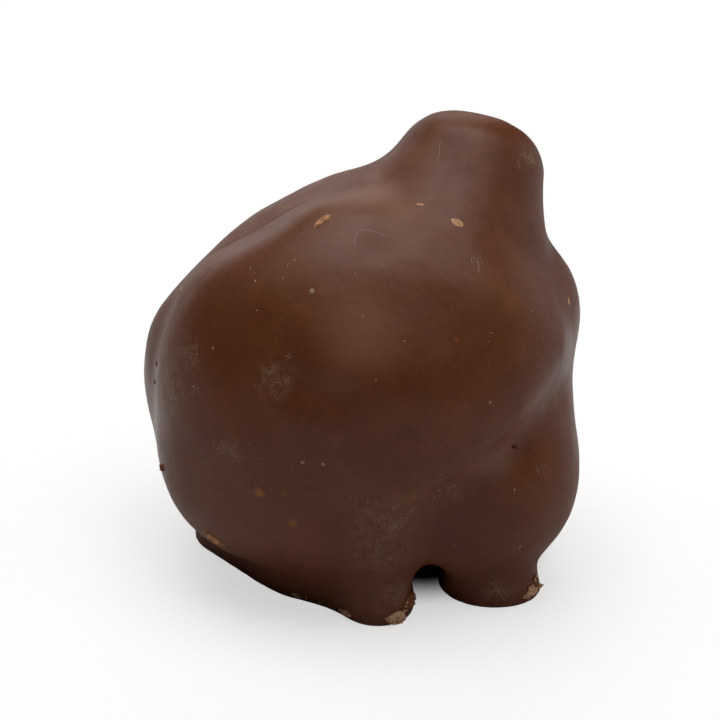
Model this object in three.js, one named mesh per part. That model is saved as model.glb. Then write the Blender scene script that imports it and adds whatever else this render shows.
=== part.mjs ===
// A hand-dipped filled chocolate. A soft round centre with a short stalk-like stub on top has been coated in
// milk chocolate, which ran down, gathered in lobes and set in thick feet with a small arch between two of
// them. It is one solid. Millimetres, +Z up; it stands on z = 0 with its bounding box centred on the Z axis,
// and its front, with the arch, faces -Y.
import * as THREE from "three";

// Driving dimensions.
const ballRadius = 15.2; // half the width of the big ball at the front
const ballMiddle = 14.4; // its height above the table
const stubRadius = 4.8; // at the top
const stubLean = 17; // degrees from upright, towards +X
const stubTilt = 36; // degrees from upright, towards +Y
const stubLength = 10;
const stubFlare = 0.18; // gain in radius per millimetre of length
const stubDome = 0.012; // how fast the top falls away from the axis, per millimetre squared
const archHeight = 3.9;
const archWidth = 2.7;
const hollowHeight = 1.3; // of the shallow space under the middle of the base

// The skin.
const cell = 0.99; // of the lattice it is drawn from
const netReach = 18; // the lattice covers this far to each side of the Z axis
const netHeight = 36;
const relaxRounds = 12;
const relaxShare = 0.5; // how far a corner moves towards the mean of its neighbours
const slideSteps = 3;
const flattest = 0.25; // least squared slope a slide divides by
const probe = 1e-3;

const at = (x, y, z) => new THREE.Vector3(x, y, z);
const leaning = (degrees) => Math.tan(THREE.MathUtils.degToRad(degrees));
const stubAxis = at(leaning(stubLean), leaning(stubTilt), 1).normalize();

// Signed distances, negative inside.
function ellipsoid(centre, radii) {
  const scaled = new THREE.Vector3();
  return (p) => {
    scaled.copy(p).sub(centre).divide(radii);
    const near = scaled.length();
    const slope = scaled.divide(radii).length();
    return slope > 0 ? (near * (near - 1)) / slope : -Math.min(radii.x, radii.y, radii.z);
  };
}

function flaredStub(top, edgeRadius) {
  const offset = new THREE.Vector3();
  return (p) => {
    offset.copy(top).sub(p);
    const along = offset.dot(stubAxis);
    const across = Math.sqrt(Math.max(offset.lengthSq() - along * along, 0));
    const outside = across - stubRadius - stubFlare * Math.max(along, 0) + edgeRadius;
    const domed = stubDome * across * across;
    const beyond = Math.abs(along - stubLength / 2) - stubLength / 2 + domed + edgeRadius;
    const corner = Math.hypot(Math.max(outside, 0), Math.max(beyond, 0));
    return Math.min(Math.max(outside, beyond), 0) + corner - edgeRadius;
  };
}

function distanceToLine(from, to) {
  const line = new THREE.Line3(from, to);
  const nearest = new THREE.Vector3();
  return (p) => line.closestPointToPoint(p, true, nearest).distanceTo(p);
}

function rod(from, to, radius) {
  const distance = distanceToLine(from, to);
  return (p) => distance(p) - radius;
}

const beyondPlane = (normal, distance) => (p) => distance - normal.dot(p);

// Two surfaces run into each other over a fillet about as wide as blend.
function smoothMin(a, b, blend) {
  const share = Math.max(blend - Math.abs(a - b), 0) / blend;
  return Math.min(a, b) - (share * share * blend) / 4;
}

// The steps that build the surface up. Each takes the distance so far and a point.
const add = (blend, shape) => (d, p) => smoothMin(d, shape(p), blend);
const cut = (blend, shape) => (d, p) => -smoothMin(-d, shape(p), blend);

// A soft ridge, or a valley where rise is negative, that fades out over spread to either side of a line.
function press(rise, spread, from, to) {
  const distance = distanceToLine(from, to);
  return (d, p) => d - rise * Math.exp(-((distance(p) / spread) ** 2));
}

// Each add and cut gives its fillet and its shape, each press its rise, spread and line.
const steps = [
  add(1, ellipsoid(at(-0.1, -1.9, ballMiddle), at(ballRadius, 12.5, 15.2))), // the ball
  add(1.5, ellipsoid(at(6, -0.6, 18.6), at(8.2, 8.4, 8.4))), // right shoulder of the ball
  cut(0.6, beyondPlane(at(-0.47, 0.18, 0.864), 26)), // set flat on its upper left
  press(-2.1, 3.4, at(6.6, -12.4, 9.4), at(14, -7.4, 14.4)), // the ball is drawn in over the right cheek
  press(-0.3, 2.6, at(3.6, -7.4, 25.8), at(5.4, -9.4, 22.4)), // dent high on the front
  press(0.35, 3, at(-2.4, -11.6, 21.6), at(1.8, -12.6, 20)), // bulges to either side of it
  press(0.25, 3, at(8.4, -7, 22.6), at(9.6, -7.4, 20.6)),
  press(-0.3, 2.4, at(-6.6, -10, 22.4), at(-7.6, -11.4, 17.6)), // dents further left
  press(-0.35, 1.8, at(-4.2, -12.2, 19.6), at(-2.2, -12.8, 19.2)),
  press(-0.7, 2.6, at(-3.6, -13.4, 12.8), at(-2, -13.2, 11)), // dent above the front foot
  add(0.6, ellipsoid(at(-1.1, 3, 13.4), at(15.5, 11, 13.6))), // back, standing out past the ball on the left
  cut(0.8, beyondPlane(at(-0.71, 0.28, 0.65), 24.05)), // and set flat there too
  add(3, ellipsoid(at(1.9, 3, 20.5), at(9.4, 8, 8.6))), // shoulder under the stub
  add(2, ellipsoid(at(-7.6, -1.6, 9.4), at(7.5, 9, 7.4))), // left cheek
  add(3, flaredStub(at(8.25, 5.3, 32.1), 2.2)),
  press(0.6, 2.6, at(4, -7.2, 26.4), at(9, -6.6, 25.4)), // the ball is full below the stub
  press(0.7, 3.2, at(8, -7.8, 24.2), at(12.2, -6.2, 19)), // and down its right side
  press(0.4, 2.6, at(8.5, -9.5, 21.5), at(10, -9, 17)),
  press(0.45, 2.2, at(-3.4, -3, 28.1), at(0.7, -4.6, 28.4)), // crest of the ball
  press(0.3, 2.2, at(0.7, -4.6, 28.4), at(6.4, -6, 28.2)),
  add(1.4, ellipsoid(at(10.9, 1.5, 19), at(4.7, 5, 5.6))), // lobe under the stub's right side
  add(2.2, ellipsoid(at(9, -4.4, 8.8), at(6.4, 6.4, 7.4))), // right cheek, which the right foot carries
  add(1.5, rod(at(8.8, -5.3, 1), at(8.7, -4.6, 6), 3.5)), // right foot
  add(1, ellipsoid(at(9.9, -6.1, 0.2), at(2.8, 2.5, 1.8))), // its toe
  add(2, rod(at(0.85, -9.2, 1), at(0.1, -7.2, 8), 2.35)), // front foot
  add(3, ellipsoid(at(1, 4.5, 2.5), at(10.5, 7.5, 5))), // back foot
  add(1.5, rod(at(-10, 2, 0.6), at(-6.2, -2.6, 0.6), 3.1)), // left foot
  add(2, rod(at(-4.2, -5, 1), at(0.4, -7.4, 1), 2.8)), // skirt from the left foot to the front foot
  cut(0.8, ellipsoid(at(0.5, 0.5, 0), at(6.5, 6.5, hollowHeight))),
  cut(0.6, rod(at(4.8, -13, archHeight - archWidth / 2), at(3.6, 3, 1), archWidth / 2)),
  press(-0.5, 1.2, at(4.2, -9.4, archHeight + 0.6), at(3.4, -10.6, 8)), // groove up from the arch
];
const body = (p) => steps.reduce((d, step) => step(d, p), Infinity);
const bodyOnTable = (p) => Math.max(body(p), -p.z);

// Slides a point along the steepest way back to where the distance is nought, changing only the axes named.
function slide(p, distance, axes) {
  for (let step = 0; step < slideSteps; step++) {
    const here = distance(p);
    const slope = new THREE.Vector3();
    for (const axis of axes) {
      const beside = p.clone();
      beside[axis] += probe;
      slope[axis] = (distance(beside) - here) / probe;
    }
    p.addScaledVector(slope, -here / Math.max(slope.lengthSq(), flattest));
  }
}

// The lattice's points are numbered along x, then y, then z. The table is halfway between its lowest two
// layers.
const columns = Math.ceil((2 * netReach) / cell);
const layers = Math.ceil(netHeight / cell);
const strides = [1, columns, columns * columns];

function latticePoint(number) {
  const layer = Math.floor(number / strides[2]);
  const row = Math.floor(number / columns) - layer * columns;
  const column = number % columns;
  return at(column * cell - netReach, row * cell - netReach, (layer - 0.5) * cell);
}

// A net over the surface: one corner in each lattice cell that the surface passes through, and a square of
// four corners around each lattice edge that it crosses, facing out. The corners in the lowest layer of cells
// rest on the table.
function netOver(values) {
  const corners = [];
  const crossings = [];
  const resting = [];
  const squares = [];
  const cornerOf = new Map();
  const cornerIn = (cellNumber) => {
    if (!cornerOf.has(cellNumber)) {
      cornerOf.set(cellNumber, corners.length);
      corners.push(new THREE.Vector3());
      crossings.push(0);
      resting.push(cellNumber < strides[2]);
    }
    return cornerOf.get(cellNumber);
  };
  values.forEach((here, number) => {
    strides.forEach((stride, axis) => {
      const next = values[number + stride];
      if (next === undefined || (here < 0) === (next < 0)) return;
      const crossing = latticePoint(number);
      crossing.setComponent(axis, crossing.getComponent(axis) + (cell * here) / (here - next));
      const side = strides[(axis + 1) % 3];
      const back = strides[(axis + 2) % 3];
      const square = [number, number - side, number - side - back, number - back].map(cornerIn);
      for (const corner of square) {
        corners[corner].add(crossing);
        crossings[corner] += 1;
      }
      squares.push(here < 0 ? square : square.reverse());
    });
  });
  corners.forEach((corner, i) => corner.divideScalar(crossings[i]));
  return { corners, resting, squares };
}

function neighboursOf(corners, squares) {
  const neighbours = corners.map(() => new Set());
  for (const square of squares) {
    square.forEach((corner, i) => {
      const next = square[(i + 1) % 4];
      neighbours[corner].add(next);
      neighbours[next].add(corner);
    });
  }
  return neighbours.map((near) => [...near]);
}

// Evens out the net: each corner moves towards the mean of its neighbours and slides back to the surface. The
// resting corners stay on the table, and the outermost of them on the sharp edge where the body meets it.
function relax(corners, neighbours, resting) {
  const rim = resting.map((rests, i) => rests && neighbours[i].some((j) => !resting[j]));
  const means = neighbours.map((near, i) => {
    const along = rim[i] ? near.filter((j) => rim[j]) : near;
    const mean = new THREE.Vector3();
    for (const j of along) mean.add(corners[j]);
    return mean.divideScalar(along.length);
  });
  corners.forEach((p, i) => {
    p.lerp(means[i], relaxShare);
    if (resting[i]) p.z = 0;
    if (rim[i]) slide(p, body, ["x", "y"]);
    if (!resting[i]) slide(p, body, ["x", "y", "z"]);
  });
}

// A square is split along the diagonal that leaves the less narrow triangles.
function splitSquare(corners, [a, b, c, d]) {
  const triangle = new THREE.Triangle();
  const width = (...indices) => {
    triangle.setFromPointsAndIndices(corners, ...indices);
    const sides = [triangle.a.distanceTo(triangle.b), triangle.b.distanceTo(triangle.c)];
    return triangle.getArea() / Math.max(...sides, triangle.c.distanceTo(triangle.a));
  };
  const acWidth = Math.min(width(a, b, c), width(a, c, d));
  const bdWidth = Math.min(width(b, c, d), width(b, d, a));
  return acWidth > bdWidth ? [a, b, c, a, c, d] : [b, c, d, b, d, a];
}

function chocolateGeometry() {
  const numbers = Array.from({ length: strides[2] * layers }, (_, number) => number);
  const { corners, resting, squares } = netOver(numbers.map((number) => bodyOnTable(latticePoint(number))));
  const neighbours = neighboursOf(corners, squares);
  for (let round = 0; round < relaxRounds; round++) relax(corners, neighbours, resting);
  const geometry = new THREE.BufferGeometry().setFromPoints(corners);
  geometry.setIndex(squares.flatMap((square) => splitSquare(corners, square)));
  geometry.computeBoundingBox();
  const centre = geometry.boundingBox.getCenter(new THREE.Vector3());
  geometry.translate(-centre.x, -centre.y, 0);
  geometry.computeVertexNormals();
  return geometry;
}

const milkChocolate = new THREE.MeshStandardMaterial({ color: 0x4a2a1c, roughness: 0.42, metalness: 0 });
const chocolate = new THREE.Mesh(chocolateGeometry(), milkChocolate);
chocolate.name = "chocolate";

const filledChocolate = new THREE.Group();
filledChocolate.add(chocolate);
export default filledChocolate;
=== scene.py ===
import math
import random

import bmesh
import bpy
from mathutils import Matrix, Vector, noise
from mathutils.bvhtree import BVHTree


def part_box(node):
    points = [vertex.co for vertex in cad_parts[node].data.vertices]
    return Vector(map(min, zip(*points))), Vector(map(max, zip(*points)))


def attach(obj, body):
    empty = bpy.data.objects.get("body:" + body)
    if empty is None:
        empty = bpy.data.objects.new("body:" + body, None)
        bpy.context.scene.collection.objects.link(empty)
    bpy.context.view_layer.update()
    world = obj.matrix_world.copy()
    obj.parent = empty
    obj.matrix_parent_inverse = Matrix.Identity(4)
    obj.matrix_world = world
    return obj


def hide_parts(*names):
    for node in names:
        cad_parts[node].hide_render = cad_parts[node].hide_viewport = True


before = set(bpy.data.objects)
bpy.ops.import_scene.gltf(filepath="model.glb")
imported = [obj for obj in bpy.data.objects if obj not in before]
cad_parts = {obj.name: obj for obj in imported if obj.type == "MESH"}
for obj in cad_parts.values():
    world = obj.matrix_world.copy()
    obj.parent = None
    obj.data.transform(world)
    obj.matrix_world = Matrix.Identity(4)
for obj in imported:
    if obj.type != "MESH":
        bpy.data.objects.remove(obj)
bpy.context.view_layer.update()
low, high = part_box("chocolate")
mm = 0.001
tableGap = 0.01 * mm  # anything lower counts as on the table, and small pieces stay above it
ballHeight = 0.42  # of the big ball's middle, as a share of the chocolate's height
middle = Vector(((low.x + high.x) / 2, (low.y + high.y) / 2, ballHeight * high.z))
frontView = (0, 25)  # azimuth and elevation that the chocolate is seen from
noise.seed_set(3)  # or the lumps of the crumbs and specks change from run to run
print("frame loaded, the chocolate is %.1f mm tall" % (high.z / mm))


# Directions are in degrees: azimuth 0 faces the front, 90 is on the right, and elevation 90 is straight up.
def towards(azimuth, elevation):
    a, e = math.radians(azimuth), math.radians(elevation)
    return Vector((math.sin(a) * math.cos(e), -math.cos(a) * math.cos(e), math.sin(e)))


def smoothStep(x, start, end):
    t = min(max((x - start) / (end - start), 0), 1)
    return t * t * (3 - 2 * t)


def newObject(name, bm):
    mesh = bpy.data.meshes.new(name)
    bm.to_mesh(mesh)
    bm.free()
    made = bpy.data.objects.new(name, mesh)
    bpy.context.scene.collection.objects.link(made)
    return made


def addPiece(name, bm, material):
    piece = newObject(name, bm)
    piece.data.materials.append(material)
    for face in piece.data.polygons:
        face.use_smooth = True
    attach(piece, "root")
    return piece


# A smooth run through a few points, with so many steps from each to the next.
def runThrough(points, steps=6):
    ends = [points[0] * 2 - points[1], *points, points[-1] * 2 - points[-2]]
    run = []
    for a, b, c, d in zip(ends, ends[1:], ends[2:], ends[3:]):
        for i in range(steps):
            t = i / steps
            run.append((b * 2 + (c - a) * t + (a * 2 - b * 5 + c * 4 - d) * t * t
                        + (b * 3 - a - c * 3 + d) * t * t * t) / 2)
    return run + [points[-1]]


# Nodes: inputs hold values or the sockets that feed them, settings are the node's own.
def addNode(tree, kind, inputs=None, **settings):
    made = tree.nodes.new("ShaderNode" + kind)
    for name, value in settings.items():
        setattr(made, name, value)
    for name, value in (inputs or {}).items():
        if isinstance(value, bpy.types.NodeSocket):
            tree.links.new(value, made.inputs[name])
        else:
            made.inputs[name].default_value = value
    return made


def newMaterial(name, **settings):
    material = bpy.data.materials.new(name)
    material.use_nodes = True
    shader = material.node_tree.nodes["Principled BSDF"]
    for socket, value in settings.items():
        shader.inputs[socket.replace("_", " ")].default_value = value
    return material, material.node_tree, shader


def rawNoise(tree, coords, size, detail=3, roughness=0.5):  # size in metres
    return addNode(tree, "TexNoise", {"Vector": coords, "Scale": 1 / size, "Detail": detail,
                                      "Roughness": roughness}).outputs["Fac"]


def noiseOf(tree, coords, start=0.35, end=0.65, **grain):  # stretched to go from 0 to 1
    return addNode(tree, "MapRange", {"Value": rawNoise(tree, coords, **grain), "From Min": start,
                                      "From Max": end}).outputs["Result"]


def nearTo(tree, coords, point, radius, soft=1.0):  # 1 at a point, fading to 0 at radius
    gap = addNode(tree, "VectorMath", {0: coords, 1: point}, operation="DISTANCE").outputs["Value"]
    return addNode(tree, "MapRange", {"Value": gap, "From Min": radius, "From Max": radius * (1 - soft)},
                   interpolation_type="SMOOTHSTEP").outputs["Result"]


def join(tree, a, b, operation):
    return addNode(tree, "Math", {0: a, 1: b}, operation=operation).outputs["Value"]


def times(tree, a, b):
    return join(tree, a, b, "MULTIPLY")


def joinVectors(tree, a, b, operation):
    return addNode(tree, "VectorMath", {0: a, 1: b}, operation=operation).outputs["Vector"]


def blendColours(tree, share, a, b):
    made = addNode(tree, "Mix", data_type="RGBA")
    for socket, value in ((made.inputs["Factor"], share), (made.inputs[6], a), (made.inputs[7], b)):
        if isinstance(value, bpy.types.NodeSocket):
            tree.links.new(value, socket)
        else:
            socket.default_value = value
    return made.outputs[2]


# The coating: the CAD solid smoothed, with the fine relief that dipping leaves. The crease is given as pairs
# of azimuth and elevation, and dents and the pit as azimuth, elevation, radius and depth in mm.
coating = {
    "levels": 2,  # of smoothing
    "tableEdge": 0.75,  # how sharp the edge on the table stays
    "waves": 0.05 * mm,
    "waveSize": 4.5 * mm,
    "ripples": (2.3, 0.5),  # how much finer than the waves, and how strong against them
    "flatFoot": (0.2 * mm, 1.5 * mm),  # the relief grows from nothing to all between these heights
    "crease": [(-98.5, 36), (-98, 41), (-97, 45.5), (-97.5, 49), (-97, 56), (-99, 63), (-99, 70), (-92, 78),
               (-60, 83)],
    "creaseArea": (4 * mm, 3 * mm),  # the crease is this far above the ball's middle, and left of this
    "creaseGrows": 0.2,  # share of its length over which it comes up
    "creaseFades": 0.75,  # and the share from which it dies down
    "creaseStep": 0.13 * mm,  # the skin is lower on the far side of the crease
    "creaseWidth": 0.22 * mm,
    "lip": (0.5, 0.7),  # height against the step, and place in front of it against the width
    "facetWidth": 2.6 * mm,  # reach of the step behind the crease
    "streaks": (1.2 * mm, 1.6),  # reach of the streaks in front, and behind against the facet's width
    "streakStep": 0.6,  # how far their pattern moves on from one point of the crease to the next, in mm
    "dents": [(9, 59.5, 1.5, 0.08), (-20.5, 45, 1.3, 0.05), (-23.5, 24.5, 1.8, 0.08)],
    "pit": (48.5, -3, 0.28, 0.22),
    "finePasses": 2,  # the mesh is made finer so many times
    "fineReach": 0.8 * mm,  # this close to the crease, and half as close in the next pass
    "fineArea": (5 * mm, 0),  # and only here, given as for the crease
    "finePit": 0.6 * mm,  # this close to the pit as well
}
rayStart = 60  # mm from the middle, well outside


def smoothedNode():
    bm = bmesh.new()
    bm.from_mesh(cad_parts["chocolate"].data)
    bmesh.ops.remove_doubles(bm, verts=bm.verts, dist=0.001 * mm)
    bmesh.ops.join_triangles(bm, faces=bm.faces, angle_face_threshold=0.7, angle_shape_threshold=0.9)
    sharpness = bm.edges.layers.float.new("crease_edge")
    for edge in bm.edges:
        onTable = all(v.co.z < tableGap for v in edge.verts)
        if onTable and any(v.co.z > tableGap for face in edge.link_faces for v in face.verts):
            edge[sharpness] = coating["tableEdge"]
    piece = newObject("smoothing", bm)
    smoothing = piece.modifiers.new("smoothing", "SUBSURF")
    smoothing.levels = smoothing.render_levels = coating["levels"]
    bm = bmesh.new()
    bm.from_object(piece, bpy.context.evaluated_depsgraph_get())
    bpy.data.objects.remove(piece)
    return bm


coat = smoothedNode()
coat.normal_update()
skin = BVHTree.FromBMesh(coat)


# Where a ray from outside meets the skin, with the way the skin faces there. It aims at the ball's middle, or
# at its axis at a level.
def spot(azimuth, elevation=0, level=None):
    centre = Vector((middle.x, middle.y, middle.z if level is None else level))
    out = towards(azimuth, elevation)
    place, normal, _, _ = skin.ray_cast(centre + out * rayStart * mm, -out)
    return place, normal


creaseLine = runThrough([spot(*way)[0] for way in coating["crease"]])
dents = [(spot(azimuth, elevation)[0], radius * mm, depth * mm)
         for azimuth, elevation, radius, depth in (*coating["dents"], coating["pit"])]


# How far a point is behind the crease (negative in front of it), how far along, and how strong the crease is.
def besideCrease(point):
    i = min(range(len(creaseLine)), key=lambda k: (creaseLine[k] - point).length_squared)
    along = (creaseLine[min(i + 1, len(creaseLine) - 1)] - creaseLine[max(i - 1, 0)]).normalized()
    out = (creaseLine[i] - middle).normalized()
    away = point - creaseLine[i]
    share = i / (len(creaseLine) - 1)
    grows, fades = coating["creaseGrows"], coating["creaseFades"]
    strength = smoothStep(share, 0, grows) * (1 - smoothStep(share, fades, 1))
    return away.dot(out.cross(along)), away.dot(along) + i * coating["streakStep"] * mm, strength


def isInArea(point, area):
    return point.z > middle.z + area[0] and point.x < area[1]


def needsFineMesh(point, pitPlace, reach):
    if (point - pitPlace).length < coating["finePit"]:
        return True
    if not isInArea(point, coating["fineArea"]):
        return False
    return min((place - point).length for place in creaseLine) < reach


# The crease's part of the relief, with the marks that its streaks need: how far behind it a point is, how far
# along, and how strong the streaks are.
def creaseRelief(point):
    gap, run, strength = besideCrease(point)
    step, width, reach = coating["creaseStep"], coating["creaseWidth"], coating["facetWidth"]
    beyond = smoothStep(gap, -0.5 * width, 0.5 * width) * (1 - smoothStep(gap, width, reach))
    lipHeight, lipPlace = coating["lip"]
    lip = lipHeight * step * math.exp(-(((gap + lipPlace * width) / width) ** 2)) * strength
    inFront, behind = coating["streaks"]
    facet = smoothStep(gap, -inFront, 0) * (1 - smoothStep(gap, width, behind * reach)) * strength
    return lip - step * beyond * strength, (gap, run, facet)


def relief(v):
    p = v.co / coating["waveSize"]
    finer, share = coating["ripples"]
    rise = coating["waves"] * (noise.noise(p) + share * noise.noise(p * finer))
    marks = (0.0, 0.0, 0.0)
    if isInArea(v.co, coating["creaseArea"]):
        step, marks = creaseRelief(v.co)
        rise += step
    for place, radius, depth in dents:
        rise -= depth * smoothStep(radius - (v.co - place).length, 0, radius)
    return v.normal * rise * smoothStep(v.co.z, *coating["flatFoot"]), marks


def shapeCoating():
    pitPlace = spot(*coating["pit"][:2])[0]
    reach = coating["fineReach"]
    for _ in range(coating["finePasses"]):
        fine = [edge for edge in coat.edges if needsFineMesh(edge.verts[0].co, pitPlace, reach)]
        bmesh.ops.subdivide_edges(coat, edges=fine, cuts=1, use_grid_fill=True, smooth=0.5)
        reach /= 2
    coat.normal_update()
    layers = [coat.verts.layers.float.new(name) for name in ("creaseGap", "creaseRun", "facet")]
    moves = [relief(v) for v in coat.verts]
    for v, (move, marks) in zip(coat.verts, moves):
        v.co += move
        for layer, value in zip(layers, marks):
            v[layer] = value
    coat.normal_update()


shapeCoating()
skin = BVHTree.FromBMesh(coat)
print("coating shaped, %d faces" % len(coat.faces))

# Dust, bloom and rubbed-off chocolate. Places are azimuth, elevation, radius in mm and strength, and low ones
# give their height in mm instead of the elevation.
dustLook = {
    "places": [
        (-63, 9, 2.4, 0.8), (-71, 4, 1.8, 1.0), (-52, 13.5, 1.0, 0.4), (-25, 24, 1.9, 0.9),
        (-39.5, 0, 1.5, 0.9), (-38, 0, 0.7, 1.0), (7.5, -21.5, 3.2, 0.8), (7.5, -33, 2.6, 0.8),
        (94, 54.3, 1.1, 1.0), (89.5, 56, 0.6, 0.7), (-57, 21.5, 1.5, 0.7), (12, -46.5, 1.6, 0.9),
        (-1, -32.5, 0.5, 0.9), (3, -36.5, 0.6, 1.0), (7, -39.5, 0.5, 0.9), (-112.5, 65.5, 1.0, 1.0),
        (-93, 38, 1.8, 0.6), (29.5, -14, 1.2, 0.5), (54.5, -10, 1.6, 0.4), (140, 12, 2.4, 0.6),
        (165, -22, 2.8, 0.7), (205, 20, 2, 0.5), (235, -15, 2.4, 0.7), (110, -28, 2, 0.6),
        (255, 30, 1.8, 0.5), (185, 60, 1.6, 0.5),
    ],
    "lowPlaces": [(50, 1.4, 1.5, 1.0), (13, 2.4, 1.8, 0.9)],
    "widening": 1.1,  # of the places, because their soft edges look smaller
    "softness": 0.8,
    "swirlSize": 1.6 * mm,  # a swirl pushes the edges of the places about
    "swirlReach": 3 * mm,
    "brushTurn": 25,  # degrees that the grains lean
    "brushStretch": (0.35, 1, 1.4),
    "grains": dict(size=0.17 * mm, detail=5, roughness=0.8, start=0.43, end=0.64),
    "clouds": dict(size=0.8 * mm, detail=4, roughness=0.7, start=0.40, end=0.58),
}


def dustMask(tree, coords):
    look = dustLook
    places = [(spot(a, e)[0], r, s) for a, e, r, s in look["places"]]
    places += [(spot(a, 0, h * mm)[0], r, s) for a, h, r, s in look["lowPlaces"]]
    swirl = addNode(tree, "TexNoise", {"Vector": coords, "Scale": 1 / look["swirlSize"], "Detail": 3})
    swirl = joinVectors(tree, swirl.outputs["Color"], (0.5, 0.5, 0.5), "SUBTRACT")
    swirl = joinVectors(tree, swirl, (look["swirlReach"],) * 3, "MULTIPLY")
    warped = joinVectors(tree, coords, swirl, "ADD")
    mask = 0.0
    for place, radius, strength in places:
        near = nearTo(tree, warped, place, look["widening"] * radius * mm, look["softness"])
        mask = join(tree, times(tree, near, strength), mask, "MAXIMUM")
    brushed = addNode(tree, "Mapping", {"Vector": warped, "Rotation": (0, math.radians(look["brushTurn"]), 0),
                                        "Scale": look["brushStretch"]}).outputs["Vector"]
    grains, clouds = noiseOf(tree, brushed, **look["grains"]), noiseOf(tree, coords, **look["clouds"])
    return times(tree, mask, times(tree, grains, clouds))


# Hair-fine streaks that run along the crease.
streakLook = {
    "width": 0.13 * mm,
    "length": 4 * mm,
    "lines": dict(detail=3, roughness=0.7, start=0.42, end=0.66),
}


def streakMask(tree):
    gap, run, facet = (addNode(tree, "Attribute", attribute_name=name).outputs["Fac"]
                       for name in ("creaseGap", "creaseRun", "facet"))
    across = addNode(tree, "CombineXYZ", {"X": times(tree, gap, 1 / streakLook["width"]),
                                          "Y": times(tree, run, 1 / streakLook["length"])})
    return times(tree, noiseOf(tree, across.outputs["Vector"], size=1, **streakLook["lines"]), facet)


def bumpOn(tree, height, depth, under=None):
    inputs = {"Height": height, "Distance": depth, "Strength": 0.6}
    if under:
        inputs["Normal"] = under
    return addNode(tree, "Bump", inputs).outputs["Normal"]


chocolateLook = {
    "plain": (0.208, 0.062, 0.023, 1),
    "warm": (0.243, 0.080, 0.026, 1),  # thin, orange-brown places
    "deep": (0.175, 0.047, 0.018, 1),  # redder, darker tint, the base under the random tones; laid on its places it is painted shade
    "paintedLight": (0.31, 0.13, 0.075, 1),  # painted light: a lighter colour laid where light falls brightest
    "pink": (0.26, 0.074, 0.027, 1),  # the fine mottling
    "plum": (0.162, 0.047, 0.020, 1),  # dull, bluish places
    "rust": (0.27, 0.068, 0.025, 1),
    "amber": (0.58, 0.18, 0.030, 1),
    # painted shade: the near-black colour laid in the middle of the pit
    "pit": (0.02, 0.006, 0.003, 1),
    "dust": (0.44, 0.28, 0.18, 1),
    "layers": [  # clouds of each tint laid over the deep one, with their strength
        ("plain", 1, dict(size=7 * mm, detail=3, roughness=0.55)),
        ("warm", 0.8, dict(size=3 * mm, detail=4, roughness=0.6, start=0.45, end=0.70)),
        ("plum", 0.7, dict(size=1.9 * mm, detail=4, roughness=0.65, start=0.48, end=0.68)),
        ("pink", 0.5, dict(size=0.4 * mm, detail=5, roughness=0.7, start=0.40, end=0.68)),
    ],
    "places": {  # each is azimuth, elevation, radius in mm and strength
        # painted light on the lit crest under the stub, the sheen in the ball's middle and the lit valley on
        # the right
        "paintedLight": [(91.5, 76, 2.6, 0.7), (-0.5, 35.5, 4.2, 0.9), (29, 70.5, 2.4, 0.85), (18.5, 77.5, 2.6, 0.7),
                 (-12, 68, 3, 0.4), (51.5, 10.5, 1.6, 0.5), (35, -5.5, 2, 0.5), (44, -6.5, 2.2, 0.8),
                 (52.5, 6.5, 1.8, 0.35), (-25, 78, 3, 0.6), (-105, 72, 3.4, 0.7), (-2, 78, 2.6, 0.4)],
        "warm": [(51, 36.5, 4.5, 0.4), (-31.5, 51, 5, 0.5), (40, 62, 4, 0.2), (-29.5, 6, 4, 0.3),
                 (61, -25.5, 4, 0.3), (14, 58, 3, 0.3)],
        # painted shade on the lower front, the feet, the left cheek and the stub's right side
        "deep": [(-48, 30.5, 6, 0.7), (10, 8.5, 5, 0.5), (-14.5, -25.5, 3, 0.4), (30, -24.5, 4, 0.8),
                 (-19.5, 25.5, 4, 0.4), (30, -32, 3.2, 1.0), (82, 56, 3.4, 0.9), (43, -23, 2.6, 0.6),
                 (-32, 7, 3, 0.5), (66, -7, 2.4, 0.7)],
        "rust": [(-17, -27, 2.6, 0.6), (-44, 12, 3, 0.3), (-41, -4, 2.4, 0.35)],
        "amber": [(-22.5, -11, 0.3, 0.25), (-29.5, -11.5, 0.6, 0.8), (-20.5, -21, 0.5, 0.6),
                  (15.5, -11, 0.3, 0.3), (30.5, 32.5, 0.3, 0.3), (51, 36.5, 1.4, 0.12)],
    },
    "pitShade": (0.16 * mm, 0.5),  # radius and softness of the painted shade in the pit
    "dustShare": 0.9,
    "streakShare": 0.22,
    "ior": 1.45,
    "mirroring": 0.44,
    "shine": 0.09,  # of the thin clear skin
    "shineRoughness": 0.06,
    "roughness": 0.40,
    "roughnessSpread": 0.04,
    "roughPatches": dict(size=2 * mm, detail=3, roughness=0.6, start=0.3, end=0.7),
    "dustRoughness": 0.25,
    "dimples": dict(size=0.6 * mm),
    "dimpleDepth": 0.03 * mm,
    "grain": dict(size=0.14 * mm, detail=4, roughness=0.7),
    "grainDepth": 0.018 * mm,
    "streakDepth": 0.03 * mm,
    "dustDepth": 0.02 * mm,
}


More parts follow.
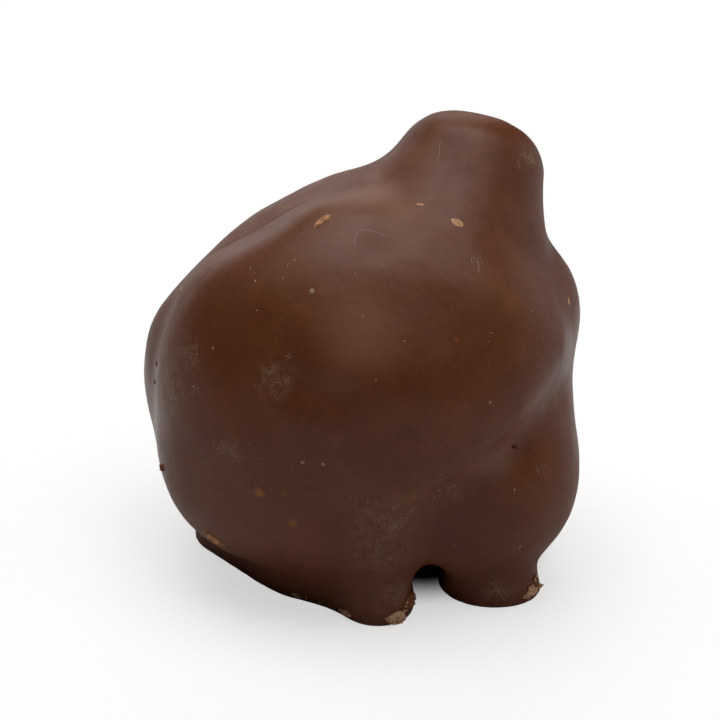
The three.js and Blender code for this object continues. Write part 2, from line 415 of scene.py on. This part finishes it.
def makeChocolate():
    look = chocolateLook
    material, tree, shader = newMaterial(
        "milkChocolate", Roughness=look["roughness"], IOR=look["ior"], Specular_IOR_Level=look["mirroring"],
        Coat_Weight=look["shine"], Coat_Roughness=look["shineRoughness"], Coat_IOR=look["ior"])
    coords = addNode(tree, "TexCoord").outputs["Object"]
    colour = look["deep"]
    for tint, share, clouds in look["layers"]:
        colour = blendColours(tree, times(tree, noiseOf(tree, coords, **clouds), share), colour, look[tint])
    for tint, places in look["places"].items():
        for azimuth, elevation, radius, strength in places:
            near = nearTo(tree, coords, spot(azimuth, elevation)[0], radius * mm)
            colour = blendColours(tree, times(tree, near, strength), colour, look[tint])
    # Painted shade: the pit's middle is darkened to near black.
    paintedPitShade = nearTo(tree, coords, spot(*coating["pit"][:2])[0], *look["pitShade"])
    colour = blendColours(tree, paintedPitShade, colour, look["pit"])
    dust, streaks = dustMask(tree, coords), streakMask(tree)
    colour = blendColours(tree, times(tree, dust, look["dustShare"]), colour, look["dust"])
    colour = blendColours(tree, times(tree, streaks, look["streakShare"]), colour, look["dust"])
    tree.links.new(colour, shader.inputs["Base Color"])
    usual, spread = look["roughness"], look["roughnessSpread"]
    rough = addNode(tree, "MapRange", {"Value": noiseOf(tree, coords, **look["roughPatches"]),
                                       "To Min": usual - spread, "To Max": usual + spread}).outputs["Result"]
    rough = join(tree, times(tree, dust, look["dustRoughness"]), rough, "ADD")
    tree.links.new(rough, shader.inputs["Roughness"])
    bumped = None
    for height, depth in ((rawNoise(tree, coords, **look["dimples"]), look["dimpleDepth"]),
                          (rawNoise(tree, coords, **look["grain"]), look["grainDepth"]),
                          (streaks, look["streakDepth"]), (dust, look["dustDepth"])):
        bumped = bumpOn(tree, height, depth, bumped)
    tree.links.new(bumped, shader.inputs["Normal"])
    return material


coatingPiece = addPiece("coating", coat, makeChocolate())
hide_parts("chocolate")
print("coating finished")

# Broken chocolate, nut flakes and other pale bits: the light colour, the dark one, and the size of the
# mottling in mm.
paleKinds = {
    "flake": ((0.88, 0.44, 0.21, 1), (0.36, 0.13, 0.05, 1), 0.30),
    "smear": ((0.88, 0.50, 0.30, 1), (0.62, 0.29, 0.14, 1), 0.28),
    "chip": ((0.98, 0.60, 0.38, 1), (0.46, 0.15, 0.05, 1), 0.16),
    "rubbed": ((0.36, 0.14, 0.06, 1), (0.17, 0.052, 0.02, 1), 0.16),
    "speck": ((0.54, 0.37, 0.26, 1), (0.36, 0.20, 0.13, 1), 0.20),
    "hair": ((0.50, 0.36, 0.28, 1), (0.34, 0.21, 0.15, 1), 0.30),
    "ridge": ((0.40, 0.24, 0.21, 1), (0.33, 0.18, 0.15, 1), 0.40),
}
paleLook = {
    "roughness": 0.65,
    "mottling": dict(detail=4, roughness=0.6, start=0.32, end=0.52),
    "hollowShade": 0.85,  # how dark the painted shade in hollows gets
    "grain": dict(size=0.08 * mm, detail=4),
    "grainDepth": 0.02 * mm,
}


def makePale(name, light, dark, size):
    look = paleLook
    material, tree, shader = newMaterial(name, Roughness=look["roughness"], IOR=chocolateLook["ior"])
    coords = addNode(tree, "TexCoord").outputs["Object"]
    # Painted shade: the hollow attribute darkens the middle of hollow flakes towards the dark colour.
    hollow = addNode(tree, "Attribute", attribute_name="hollow").outputs["Fac"]
    shaded = times(tree, hollow, look["hollowShade"])
    mottled = blendColours(tree, noiseOf(tree, coords, size=size * mm, **look["mottling"]), dark, light)
    tree.links.new(blendColours(tree, shaded, mottled, dark), shader.inputs["Base Color"])
    grain = rawNoise(tree, coords, **look["grain"])
    tree.links.new(bumpOn(tree, grain, look["grainDepth"]), shader.inputs["Normal"])
    return material


paleMaterials = {kind: makePale(kind + "Chocolate", *look) for kind, look in paleKinds.items()}
grazing = 0.25  # skin seen flatter than this isn't stretched further


# Which way things lie on the skin: slant is how their long side leans as seen from the front, in degrees.
def lieOn(normal, slant):
    viewer, upwards = towards(*frontView), towards(frontView[0] + 180, 90 - frontView[1])
    s = math.radians(slant)
    leaning = Vector((1, 0, 0)) * math.cos(s) + upwards * math.sin(s)
    long = (leaning - viewer * (leaning.dot(normal) / max(viewer.dot(normal), grazing))).normalized()
    wide = normal.cross(long).normalized()
    return wide.cross(normal), wide


def layOn(place, normal, slant):
    long, wide = lieOn(normal, slant)
    return Matrix.Translation(place) @ Matrix((long, wide, normal)).transposed().to_4x4()


def roughen(verts, amount, size, seed):
    for v in verts:
        v.co += noise.noise_vector(v.co / size + Vector((seed, seed * 0.7, -seed))) * amount


# Flakes and chips on the coating. Each is a patch that follows the skin and thins out into it: where it is
# (azimuth and elevation, or azimuth and height in mm for the low ones), its length, width and thickness, the
# hollow in its middle and its roughness in mm, its slant, and where it matters how ragged its outline and how
# pointed its ends are.
flakes = {
    "longFlake": {"way": (-25.8, 67.8), "size": (1.6, 0.55, 0.18), "hollow": 0.04, "rough": 0.03, "slant": 38,
                  "ragged": 0.05},
    "cheekFlake": {"way": (-52, -33.4), "size": (2.3, 0.8, 0.16), "hollow": 0.02, "rough": 0.09, "slant": -37,
                   "pointed": 0.6},
}
smears = {
    "ovalSmear": {"way": (50.5, 59.1), "size": (1.2, 0.62, 0.05), "hollow": 0, "rough": 0.015, "slant": -28,
                  "ragged": 0.15, "pointed": 0.15},
    "lobeSmear": {"way": (84, 24.5), "size": (0.9, 0.4, 0.05), "hollow": 0, "rough": 0.03, "slant": -82,
                  "pointed": 0.5},
    "backSmear": {"way": (158, 34), "size": (1.1, 0.5, 0.05), "hollow": 0, "rough": 0.02, "slant": 20,
                  "ragged": 0.2},
    "smallSmear": {"way": (43, 68.4), "size": (0.65, 0.26, 0.05), "hollow": 0, "rough": 0.02, "slant": -5,
                   "ragged": 0.15},
}
spots = {
    "ringSpot": {"way": (-85.9, 30.1), "size": (0.65, 0.65, 0.14), "hollow": 0.12, "rough": 0.03,
                 "slant": 50},
    "creamSpot": {"way": (-18.5, 47.5), "size": (0.46, 0.44, 0.06), "hollow": 0, "rough": 0.01, "slant": 0,
                  "ragged": 0.12},
    "lowSpot": {"way": (-16.5, 0), "size": (0.36, 0.33, 0.055), "hollow": 0, "rough": 0.01, "slant": 0,
                "ragged": 0.12},
    "lowRightSpot": {"way": (-10.5, 0), "size": (0.32, 0.28, 0.055), "hollow": 0, "rough": 0.01, "slant": 0,
                     "ragged": 0.12},
}
chips = {
    "footChip": {"low": (13.6, 0.5), "size": (1.9, 1.0, 0.30), "hollow": 0, "rough": 0.14, "slant": 10},
    "toeChip": {"low": (59, 0.6), "size": (1.9, 0.62, 0.24), "hollow": 0, "rough": 0.18, "slant": 36,
                "pointed": 0.4},
    "baseChip": {"low": (-31.6, 0.35), "size": (0.95, 0.5, 0.06), "hollow": 0, "rough": 0.04, "slant": -25},
    "baseSliver": {"low": (-26.3, 0.35), "size": (0.4, 0.18, 0.06), "hollow": 0, "rough": 0.03, "slant": -65},
    "baseCrumb": {"low": (-19, 0.3), "size": (0.24, 0.2, 0.06), "hollow": 0, "rough": 0.03, "slant": -20},
    "baseLongChip": {"low": (-6.2, 0.42), "size": (1.6, 0.6, 0.08), "hollow": 0, "rough": 0.05, "slant": -20},
}
rubbedPlaces = {
    "footRub": {"low": (20, 1.35), "size": (1.9, 0.8, 0.34), "hollow": 0, "rough": 0.2, "slant": 62},
    "toeRub": {"low": (62.5, 1.2), "size": (1.0, 0.5, 0.14), "hollow": 0, "rough": 0.1, "slant": 60},
    "sideRub": {"way": (-70.3, -17.1), "size": (0.8, 0.6, 0.2), "hollow": 0, "rough": 0.1, "slant": 60},
    "edgeRub": {"way": (-82, 8.5), "size": (0.5, 0.4, 0.1), "hollow": 0, "rough": 0.06, "slant": 70},
    "backRub": {"low": (150, 0.8), "size": (1.6, 0.7, 0.14), "hollow": 0, "rough": 0.1, "slant": 5},
    "heelRub": {"low": (215, 0.7), "size": (1.2, 0.6, 0.12), "hollow": 0, "rough": 0.1, "slant": -5},
    "lowEdgeRub": {"way": (-84, 2), "size": (0.5, 0.35, 0.09), "hollow": 0, "rough": 0.06, "slant": 75},
}
patch = {  # what all of them share, with places as shares of the radius
    "segments": (30, 18),
    "sunk": 0.03 * mm,  # how deep the rim lies in the skin, and how thick it is
    "rim": 0.3,  # width of the thin rim
    "groove": (0.25, 0.75),  # the hollow is deepest up to the first and ends at the second
    "grooveShade": (0.2, 0.7),
    "ragged": 0.28,
    "raggedness": 1.6,  # how often the outline goes in and out
    "lumps": 0.18 * mm,
    "fineLumps": 0.07 * mm,
    "fineShare": 0.5,  # how high the fine lumps are against the others
    "shadePerMm": 12,  # how dark the painted shade in a hollow's middle gets with its depth
    "seedStep": 3.1,
}


def makeFlake(name, spec, kind, seed):
    length, width, thickness = (size * mm for size in spec["size"])
    place, normal = spot(spec["low"][0], 0, spec["low"][1] * mm) if "low" in spec else spot(*spec["way"])
    long, wide = lieOn(normal, spec["slant"])
    bm = bmesh.new()
    bmesh.ops.create_grid(bm, x_segments=patch["segments"][0], y_segments=patch["segments"][1], size=1)
    hollowShadeLayer = bm.verts.layers.float.new("hollow")
    for v in bm.verts:
        u, w = v.co.x, v.co.y
        u, w = u * math.sqrt(1 - w * w / 2), w * math.sqrt(1 - u * u / 2)  # a square grid made round
        fromMiddle = math.hypot(u, w)
        w *= (1 - abs(u) ** 1.5) ** spec.get("pointed", 0)
        wander = noise.noise(Vector((u * patch["raggedness"] + seed, w * patch["raggedness"], seed)))
        ragged = 1 + spec.get("ragged", patch["ragged"]) * wander
        reached = place + (long * (u * length / 2) + wide * (w * width / 2)) * ragged
        onSkin, out, _, _ = skin.find_nearest(reached)
        rise = smoothStep(1 - fromMiddle, 0, patch["rim"])
        groove = (1 - smoothStep(fromMiddle, *patch["groove"])) * spec["hollow"] * mm
        lumps = noise.noise(onSkin / patch["lumps"] + Vector((seed, 0, 0)))
        fineLumps = noise.noise(onSkin / patch["fineLumps"] + Vector((0, seed, 0)))
        rough = spec["rough"] * mm * (lumps + patch["fineShare"] * fineLumps)
        v.co = onSkin + out * (thickness * rise - groove - patch["sunk"] + rough * rise)
        v.co.z = max(v.co.z, tableGap)
        # Painted shade: the middle of a hollow is marked darker, the more so the deeper the hollow is.
        shade = min(spec["hollow"] * patch["shadePerMm"], 1)
        v[hollowShadeLayer] = (1 - smoothStep(fromMiddle, *patch["grooveShade"])) * shade
    bm.normal_update()
    bmesh.ops.recalc_face_normals(bm, faces=bm.faces)
    if sum(face.normal.dot(normal) for face in bm.faces) < 0:
        bmesh.ops.reverse_faces(bm, faces=bm.faces)
    bmesh.ops.solidify(bm, geom=bm.faces[:], thickness=patch["sunk"])
    addPiece(name, bm, paleMaterials[kind])


for kind, group in (("flake", flakes), ("smear", smears), ("speck", spots), ("chip", chips),
                    ("rubbed", rubbedPlaces)):
    for i, (name, spec) in enumerate(group.items()):
        makeFlake(name, spec, kind, i * patch["seedStep"])
print("flakes and chips laid")

# Crumbs that hold on to the chips, and the splinter that the toe ends in.
crumbs = {
    # azimuth, height, half width along the edge and half height in mm, how many
    "places": [(12.8, 0.6, 0.6, 0.4, 18), (18, 1.2, 0.25, 0.5, 12), (59, 0.7, 0.6, 0.4, 18),
               (63, 1.4, 0.2, 0.3, 6), (-6, 0.4, 0.5, 0.15, 5), (150, 0.5, 1, 0.3, 9),
               (215, 0.4, 0.8, 0.25, 7)],
    "spread": 0.5,  # of the places' half sizes
    "lowest": 0.12,  # height in mm
    "lift": 0.08,  # of their middles over the skin, in mm
    "size": (0.05, 0.13),  # radius in mm
    "stretch": (0.8, 1.5),
    "flatness": (0.5, 0.9),
    "rough": (0.6, 1.1),  # depth and width of their lumps, against their size
    "seed": 5,
}
splinter = {
    "low": (63.5, 0.6),  # azimuth, and height in mm
    "radius": 0.24 * mm,
    "stretch": (1.35, 0.8, 0.7),
    "rough": (0.12 * mm, 0.25 * mm),
    "away": Vector((0.12, 0, 0.02)),  # from the skin, in mm
    "tilt": -8,
    "seed": 4,
}


def addCrumb(bm, rng, azimuth, height, reach, halfWide, halfTall):
    level = max(height + rng.gauss(0, crumbs["spread"]) * halfTall, crumbs["lowest"]) * mm
    turn = math.degrees(rng.gauss(0, crumbs["spread"]) * halfWide * mm / reach)
    place, normal = spot(azimuth + turn, 0, level)
    size = rng.uniform(*crumbs["size"]) * mm
    made = bmesh.ops.create_icosphere(bm, subdivisions=2, radius=size)["verts"]
    scale = (rng.uniform(*crumbs["stretch"]), 1, rng.uniform(*crumbs["flatness"]))
    bmesh.ops.scale(bm, vec=scale, verts=made)
    depth, width = crumbs["rough"]
    roughen(made, size * depth, size * width, rng.uniform(0, 50))
    lie = layOn(place + normal * crumbs["lift"] * mm, normal, rng.uniform(0, 180))
    bmesh.ops.transform(bm, matrix=lie, verts=made)
    for v in made:
        v.co.z = max(v.co.z, tableGap)


def addSplinter(bm):
    azimuth, height = splinter["low"]
    place = spot(azimuth, 0, height * mm)[0] + splinter["away"] * mm
    made = bmesh.ops.create_icosphere(bm, subdivisions=3, radius=splinter["radius"])["verts"]
    bmesh.ops.scale(bm, vec=splinter["stretch"], verts=made)
    roughen(made, *splinter["rough"], splinter["seed"])
    lie = Matrix.Translation(place) @ Matrix.Rotation(math.radians(splinter["tilt"]), 4, "Y")
    bmesh.ops.transform(bm, matrix=lie, verts=made)


def makeCrumbs():
    rng = random.Random(crumbs["seed"])
    bm = bmesh.new()
    for azimuth, height, halfWide, halfTall, count in crumbs["places"]:
        reach = spot(azimuth, 0, height * mm)[0].xy.length
        for _ in range(count):
            addCrumb(bm, rng, azimuth, height, reach, halfWide, halfTall)
    addSplinter(bm)
    addPiece("crumbs", bm, paleMaterials["chip"])


makeCrumbs()
print("crumbs laid")

# Specks: bubbles' rims, sugar and nut dust. Those that show most are placed, others are sprinkled over
# patches, and the rest scattered.
specks = {
    # azimuth, elevation, size in mm, length over width, slant
    "placed": [
        (-48.5, 49, 0.12, 1, 0), (-30.5, 55, 0.14, 1, 0), (-32.5, 53, 0.1, 1, 0), (-43, 46.5, 0.13, 1, 0),
        (-32, 49.5, 0.1, 1, 0), (-7.5, 61.5, 0.12, 1, 0), (-2, 53, 0.12, 1, 0), (1, 41.5, 0.1, 1, 0),
        (-37.5, 39.5, 0.1, 1, 0), (4.5, 25, 0.1, 1, 0), (49, -35.5, 0.09, 1, 0), (49.5, -30, 0.12, 2.6, 55),
        (46.5, -14, 0.17, 1, 0), (37, 14.5, 0.15, 1, 0), (14, 34.5, 0.12, 1, 0), (41, 31.5, 0.1, 1, 0),
        (57.5, 32, 0.11, 1, 0), (49.5, 13.5, 0.1, 1, 0), (23.5, -4.5, 0.13, 1, 0), (30, -12, 0.13, 1, 0),
        (23.5, -14.5, 0.12, 1, 0), (24.5, -12, 0.12, 1.6, 20), (16, -16.5, 0.12, 1, 0),
        (-112, 65, 0.2, 1.3, 30), (-70, 10, 0.12, 1, 0), (-52.5, 14, 0.14, 1, 0), (47.5, -42, 0.14, 1, 0),
        (-48.5, 26, 0.15, 1, 0), (9, -40.5, 0.12, 1, 0), (128, 25, 0.14, 1, 0), (150, 5, 0.18, 1, 0),
        (172, 30, 0.12, 1, 0), (190, -8, 0.16, 1, 0), (214, 8, 0.14, 1, 0), (228, 34, 0.12, 1, 0),
        (246, -20, 0.16, 1, 0), (160, 52, 0.13, 1, 0),
    ],
    "placedScale": 1.35,
    # azimuth, elevation, half width and half height in mm, slant, how many
    "sprinkled": [
        (7.5, -21.5, 1.5, 1.9, 0, 110), (8.5, -34, 1.1, 1.3, 0, 70), (12.5, -47.5, 0.8, 0.6, 0, 40),
        (0, -11, 0.9, 0.3, -10, 16), (-63, 8, 1.3, 1.2, 0, 120), (-71, 4, 0.8, 0.9, 0, 70),
        (-52, 14.5, 0.8, 0.5, -30, 16), (-57, 22, 0.9, 0.8, 0, 36), (-39.5, 0, 0.7, 0.4, 0, 20),
        (-25, 24, 0.9, 1.0, 0, 30), (92.5, 54.8, 0.95, 0.32, -15, 150), (49.5, -44.5, 0.9, 0.3, -4, 55),
        (49.5, -44.5, 0.12, 0.5, 0, 14), (-29.5, -4, 2.6, 2.2, 0, 40), (29.5, -14, 0.8, 0.5, 30, 12),
        (140, 12, 1.2, 1, 0, 40), (165, -22, 1.4, 1.2, 0, 50), (205, 20, 1, 0.8, 0, 30),
        (235, -15, 1.2, 1, 0, 45),
    ],
    "spread": 0.6,  # of the patches' half sizes
    "dustSize": (0.022, 0.055),
    "dustStretch": (1, 4),
    "dustTurn": (-45, 15),
    "scattered": 240,  # of these, the ones that land high enough are kept
    "lowest": -35,  # elevation down to which they are scattered
    "size": (0.025, 0.07),  # in mm, as the dust's
    "stretch": (1, 2),
    "rough": (0.12, 0.6),  # depth and width of their lumps, against their size
    "flatness": 0.25,
    "seed": 12,
}


def addSpeck(bm, place, normal, size, stretch, slant, seed):
    made = bmesh.ops.create_icosphere(bm, subdivisions=1, radius=0.5)["verts"]
    roughen(made, *specks["rough"], seed)
    bmesh.ops.scale(bm, vec=(size * stretch, size, size * specks["flatness"]), verts=made)
    bmesh.ops.transform(bm, matrix=layOn(place, normal, slant), verts=made)


def makeSpecks():
    rng = random.Random(specks["seed"])
    bm = bmesh.new()
    for azimuth, elevation, size, stretch, slant in specks["placed"]:
        addSpeck(bm, *spot(azimuth, elevation), specks["placedScale"] * size * mm, stretch, slant, azimuth)
    for azimuth, elevation, halfWide, halfTall, slant, count in specks["sprinkled"]:
        place, normal = spot(azimuth, elevation)
        long, wide = lieOn(normal, slant)
        for _ in range(count):
            away = long * rng.gauss(0, specks["spread"]) * halfWide * mm
            away += wide * rng.gauss(0, specks["spread"]) * halfTall * mm
            landed, out, _, _ = skin.find_nearest(place + away)
            size, stretch = rng.uniform(*specks["dustSize"]) * mm, rng.uniform(*specks["dustStretch"])
            addSpeck(bm, landed, out, size, stretch, slant + rng.uniform(*specks["dustTurn"]), azimuth)
    for _ in range(specks["scattered"]):
        way = Vector((rng.gauss(0, 1), rng.gauss(0, 1), rng.gauss(0, 1))).normalized()
        azimuth, elevation = math.degrees(math.atan2(way.x, -way.y)), math.degrees(math.asin(way.z))
        size, stretch = rng.uniform(*specks["size"]), rng.uniform(*specks["stretch"])
        slant = rng.uniform(0, 180)
        if elevation > specks["lowest"]:
            addSpeck(bm, *spot(azimuth, elevation), size * mm, stretch, slant, azimuth)
    bm.normal_update()
    addPiece("specks", bm, paleMaterials["speck"])


makeSpecks()
print("specks scattered")

# Fine lines on the coating: scratches, and the curl where it folded over itself as it set. Each line is its
# width in mm and the azimuths and elevations that it passes through, and sunk is how deep its middle lies in
# the skin as a share of the width.
lines = {
    "curl": {"kind": "ridge", "sunk": 0.36, "ways": [
        (0.22, [(3.1, 55), (0.8, 57.3), (-1.8, 60.3), (-3.2, 62.6), (-1.4, 64.6), (2.2, 65.3),
                (6.5, 65), (12, 63.6), (17, 62), (21, 60.2), (24.5, 58)]),
    ]},
    "scratches": {"kind": "hair", "sunk": 0.2, "ways": [
        (0.07, [(47, 49.8), (47.1, 48.5), (46, 47.2), (44.4, 45.7)]),
        (0.035, [(45, 48.2), (45.2, 49.6), (46.2, 50), (46.6, 48.8)]),
        (0.035, [(47.4, 49.5), (48.6, 49.2), (48.4, 47.8), (47.2, 47.4)]),
        (0.05, [(91.5, 72.6), (87, 73), (83.5, 72.7), (78, 72.4), (73.5, 72.3)]),
        (0.04, [(-60.1, 58.3), (-61.1, 60.1), (-62.4, 61.6)]),
        (0.05, [(-23.9, 29.3), (-22.6, 30), (-21.8, 30.9)]),
        (0.05, [(-23.1, 28.6), (-22, 29.5), (-21, 30.2)]),
        (0.05, [(53, -8.8), (53.3, -9.8), (53.6, -10.6)]),
        (0.05, [(63, -12.9), (62.1, -13.7), (61.5, -14.5)]),
        (0.04, [(51.3, -45.6), (49.1, -44.8), (47.1, -45.7)]),
    ]},
    "creaseHairs": {"kind": "ridge", "sunk": 0.2, "ways": [
        (0.05, [(-98, 47.6), (-98.2, 50.3), (-99.1, 57), (-102.4, 63.8)]),
        (0.05, [(-101.4, 52.1), (-102, 57.9), (-104.5, 64.7), (-103.5, 71)]),
        (0.05, [(-94.9, 52.3), (-95.6, 58), (-98.1, 64.9), (-95.9, 71.1), (-74, 76.9)]),
        (0.04, [(-105.4, 56.9), (-105.7, 61.7), (-108.6, 67.7)]),
    ]},
}
lineTaper = 0.6  # the lower, the later a line gets thin towards its ends


def makeLines(name, spec):
    curve = bpy.data.curves.new(name, "CURVE")
    curve.dimensions, curve.use_fill_caps = "3D", True
    curve.bevel_depth, curve.bevel_resolution = 0.5 * mm, 2  # half of a line 1 mm wide
    for width, ways in spec["ways"]:
        run = runThrough([spot(*way)[0] for way in ways])
        spline = curve.splines.new("POLY")
        spline.points.add(len(run) - 1)
        for i, (point, place) in enumerate(zip(spline.points, run)):
            onSkin, out, _, _ = skin.find_nearest(place)
            point.radius = width * math.sin(math.pi * (i + 0.5) / len(run)) ** lineTaper
            point.co = (*(onSkin - out * spec["sunk"] * width * mm), 1)
    drawn = bpy.data.objects.new(name, curve)
    bpy.context.scene.collection.objects.link(drawn)
    bm = bmesh.new()
    bm.from_mesh(bpy.data.meshes.new_from_object(drawn.evaluated_get(bpy.context.evaluated_depsgraph_get())))
    bpy.data.objects.remove(drawn)
    addPiece(name, bm, paleMaterials[spec["kind"]])


for name, spec in lines.items():
    makeLines(name, spec)
print("lines drawn")

lights = {  # azimuth, elevation and power in W
    "rightLow": (90, 12, 0.07),
    "rightBack": (120, 12, 0.12),
    "backLow": (180, 12, 0.11),
    "leftBack": (210, 12, 0.15),
    "rightFront": (45, 40, 0.07),
    "right": (90, 40, 0.09),
    "back": (180, 40, 0.26),
    "leftRear": (225, 40, 0.04),
    "left": (270, 40, 0.04),
    "frontRightHigh": (60, 68, 0.36),
    "backHigh": (180, 68, 0.02),
    "leftRearHigh": (240, 68, 0.32),
    "leftHigh": (300, 68, 0.14),
    "top": (0, 90, 0.48),
}
studio = {"size": 0.30, "reach": 0.5, "aimHeight": 16 * mm, "colour": (1, 0.985, 0.96)}
for name, (azimuth, elevation, power) in lights.items():
    lamp = bpy.data.lights.new(name, "AREA")
    lamp.size, lamp.energy, lamp.color = studio["size"], power, studio["colour"]
    holder = bpy.data.objects.new(name, lamp)
    out = towards(azimuth, elevation)
    holder.location = Vector((0, 0, studio["aimHeight"])) + out * studio["reach"]
    holder.rotation_euler = out.to_track_quat("Z", "Y").to_euler()
    bpy.context.scene.collection.objects.link(holder)

world = bpy.data.worlds.new("studio")
world.use_nodes = True
world.node_tree.nodes["Background"].inputs["Strength"].default_value = 0
bpy.context.scene.world = world
print("lights set")

# Three sheets: the floor that is seen, which takes the lamps' shadow and a painted shadow where its glow
# drops near the chocolate; one that is only mirrored at the coating's edges, whose glowing places are painted
# reflections; and one that gives the light that comes back off the table. Each has how far it lies under the
# table's level in mm, how much it glows, the places where that changes (x, y and radius in mm, softness and
# change), and the rays that don't meet it.
floors = {
    # the glow falls away near the chocolate: a painted shadow, besides the lamps' own shadow
    "floor": {"drop": 0, "glow": 0.6, "places": [(4.5, 2, 10.6, 0.42, -0.6)],
              "misses": ("diffuse", "glossy", "shadow")},
    # glowing places seen only in the coating's reflections: painted reflections of a bright table
    "paintedReflectionSheet": {"drop": 0.005, "glow": 0, "places": [(-21, 26, 22, 0.3, 0.4), (36, 34, 22, 0.4, 0.35)],
                      "misses": ("camera", "diffuse", "shadow")},
    "floorBounce": {"drop": 0.01, "glow": 0, "places": [], "misses": ("camera",)},
}
floorSize = 1.5
floorColour = (0.7, 0.7, 0.7, 1)


def makeFloor(name, spec):
    material, tree, shader = newMaterial(name, Base_Color=floorColour, Roughness=1.0, Specular_IOR_Level=0,
                                         Emission_Color=(1, 1, 1, 1), Emission_Strength=spec["glow"])
    coords = addNode(tree, "TexCoord").outputs["Object"]
    strength = spec["glow"]
    for x, y, radius, soft, change in spec["places"]:
        near = times(tree, nearTo(tree, coords, (x * mm, y * mm, 0), radius * mm, soft), change)
        strength = join(tree, strength, near, "ADD")
    if spec["places"]:
        tree.links.new(strength, shader.inputs["Emission Strength"])
    bm = bmesh.new()
    bmesh.ops.create_grid(bm, x_segments=1, y_segments=1, size=floorSize)
    bmesh.ops.translate(bm, vec=(0, 0, -spec["drop"] * mm), verts=bm.verts)
    sheet = newObject(name, bm)
    sheet.data.materials.append(material)
    for ray in spec["misses"]:
        setattr(sheet, "visible_" + ray, False)


for name, spec in floors.items():
    makeFloor(name, spec)
print("floor laid")

view = {"distance": 0.1752, "aimHeight": 15.83 * mm, "lens": 120, "sensor": 36, "nearest": 0.01}
lens = bpy.data.cameras.new("camera")
lens.lens, lens.sensor_width, lens.clip_start = view["lens"], view["sensor"], view["nearest"]
camera = bpy.data.objects.new("camera", lens)
out = towards(*frontView)
camera.location = Vector((0, 0, view["aimHeight"])) + out * view["distance"]
camera.rotation_euler = out.to_track_quat("Z", "Y").to_euler()
bpy.context.scene.collection.objects.link(camera)
bpy.context.scene.camera = camera
bpy.context.scene.view_settings.view_transform = "Standard"
print("camera placed")
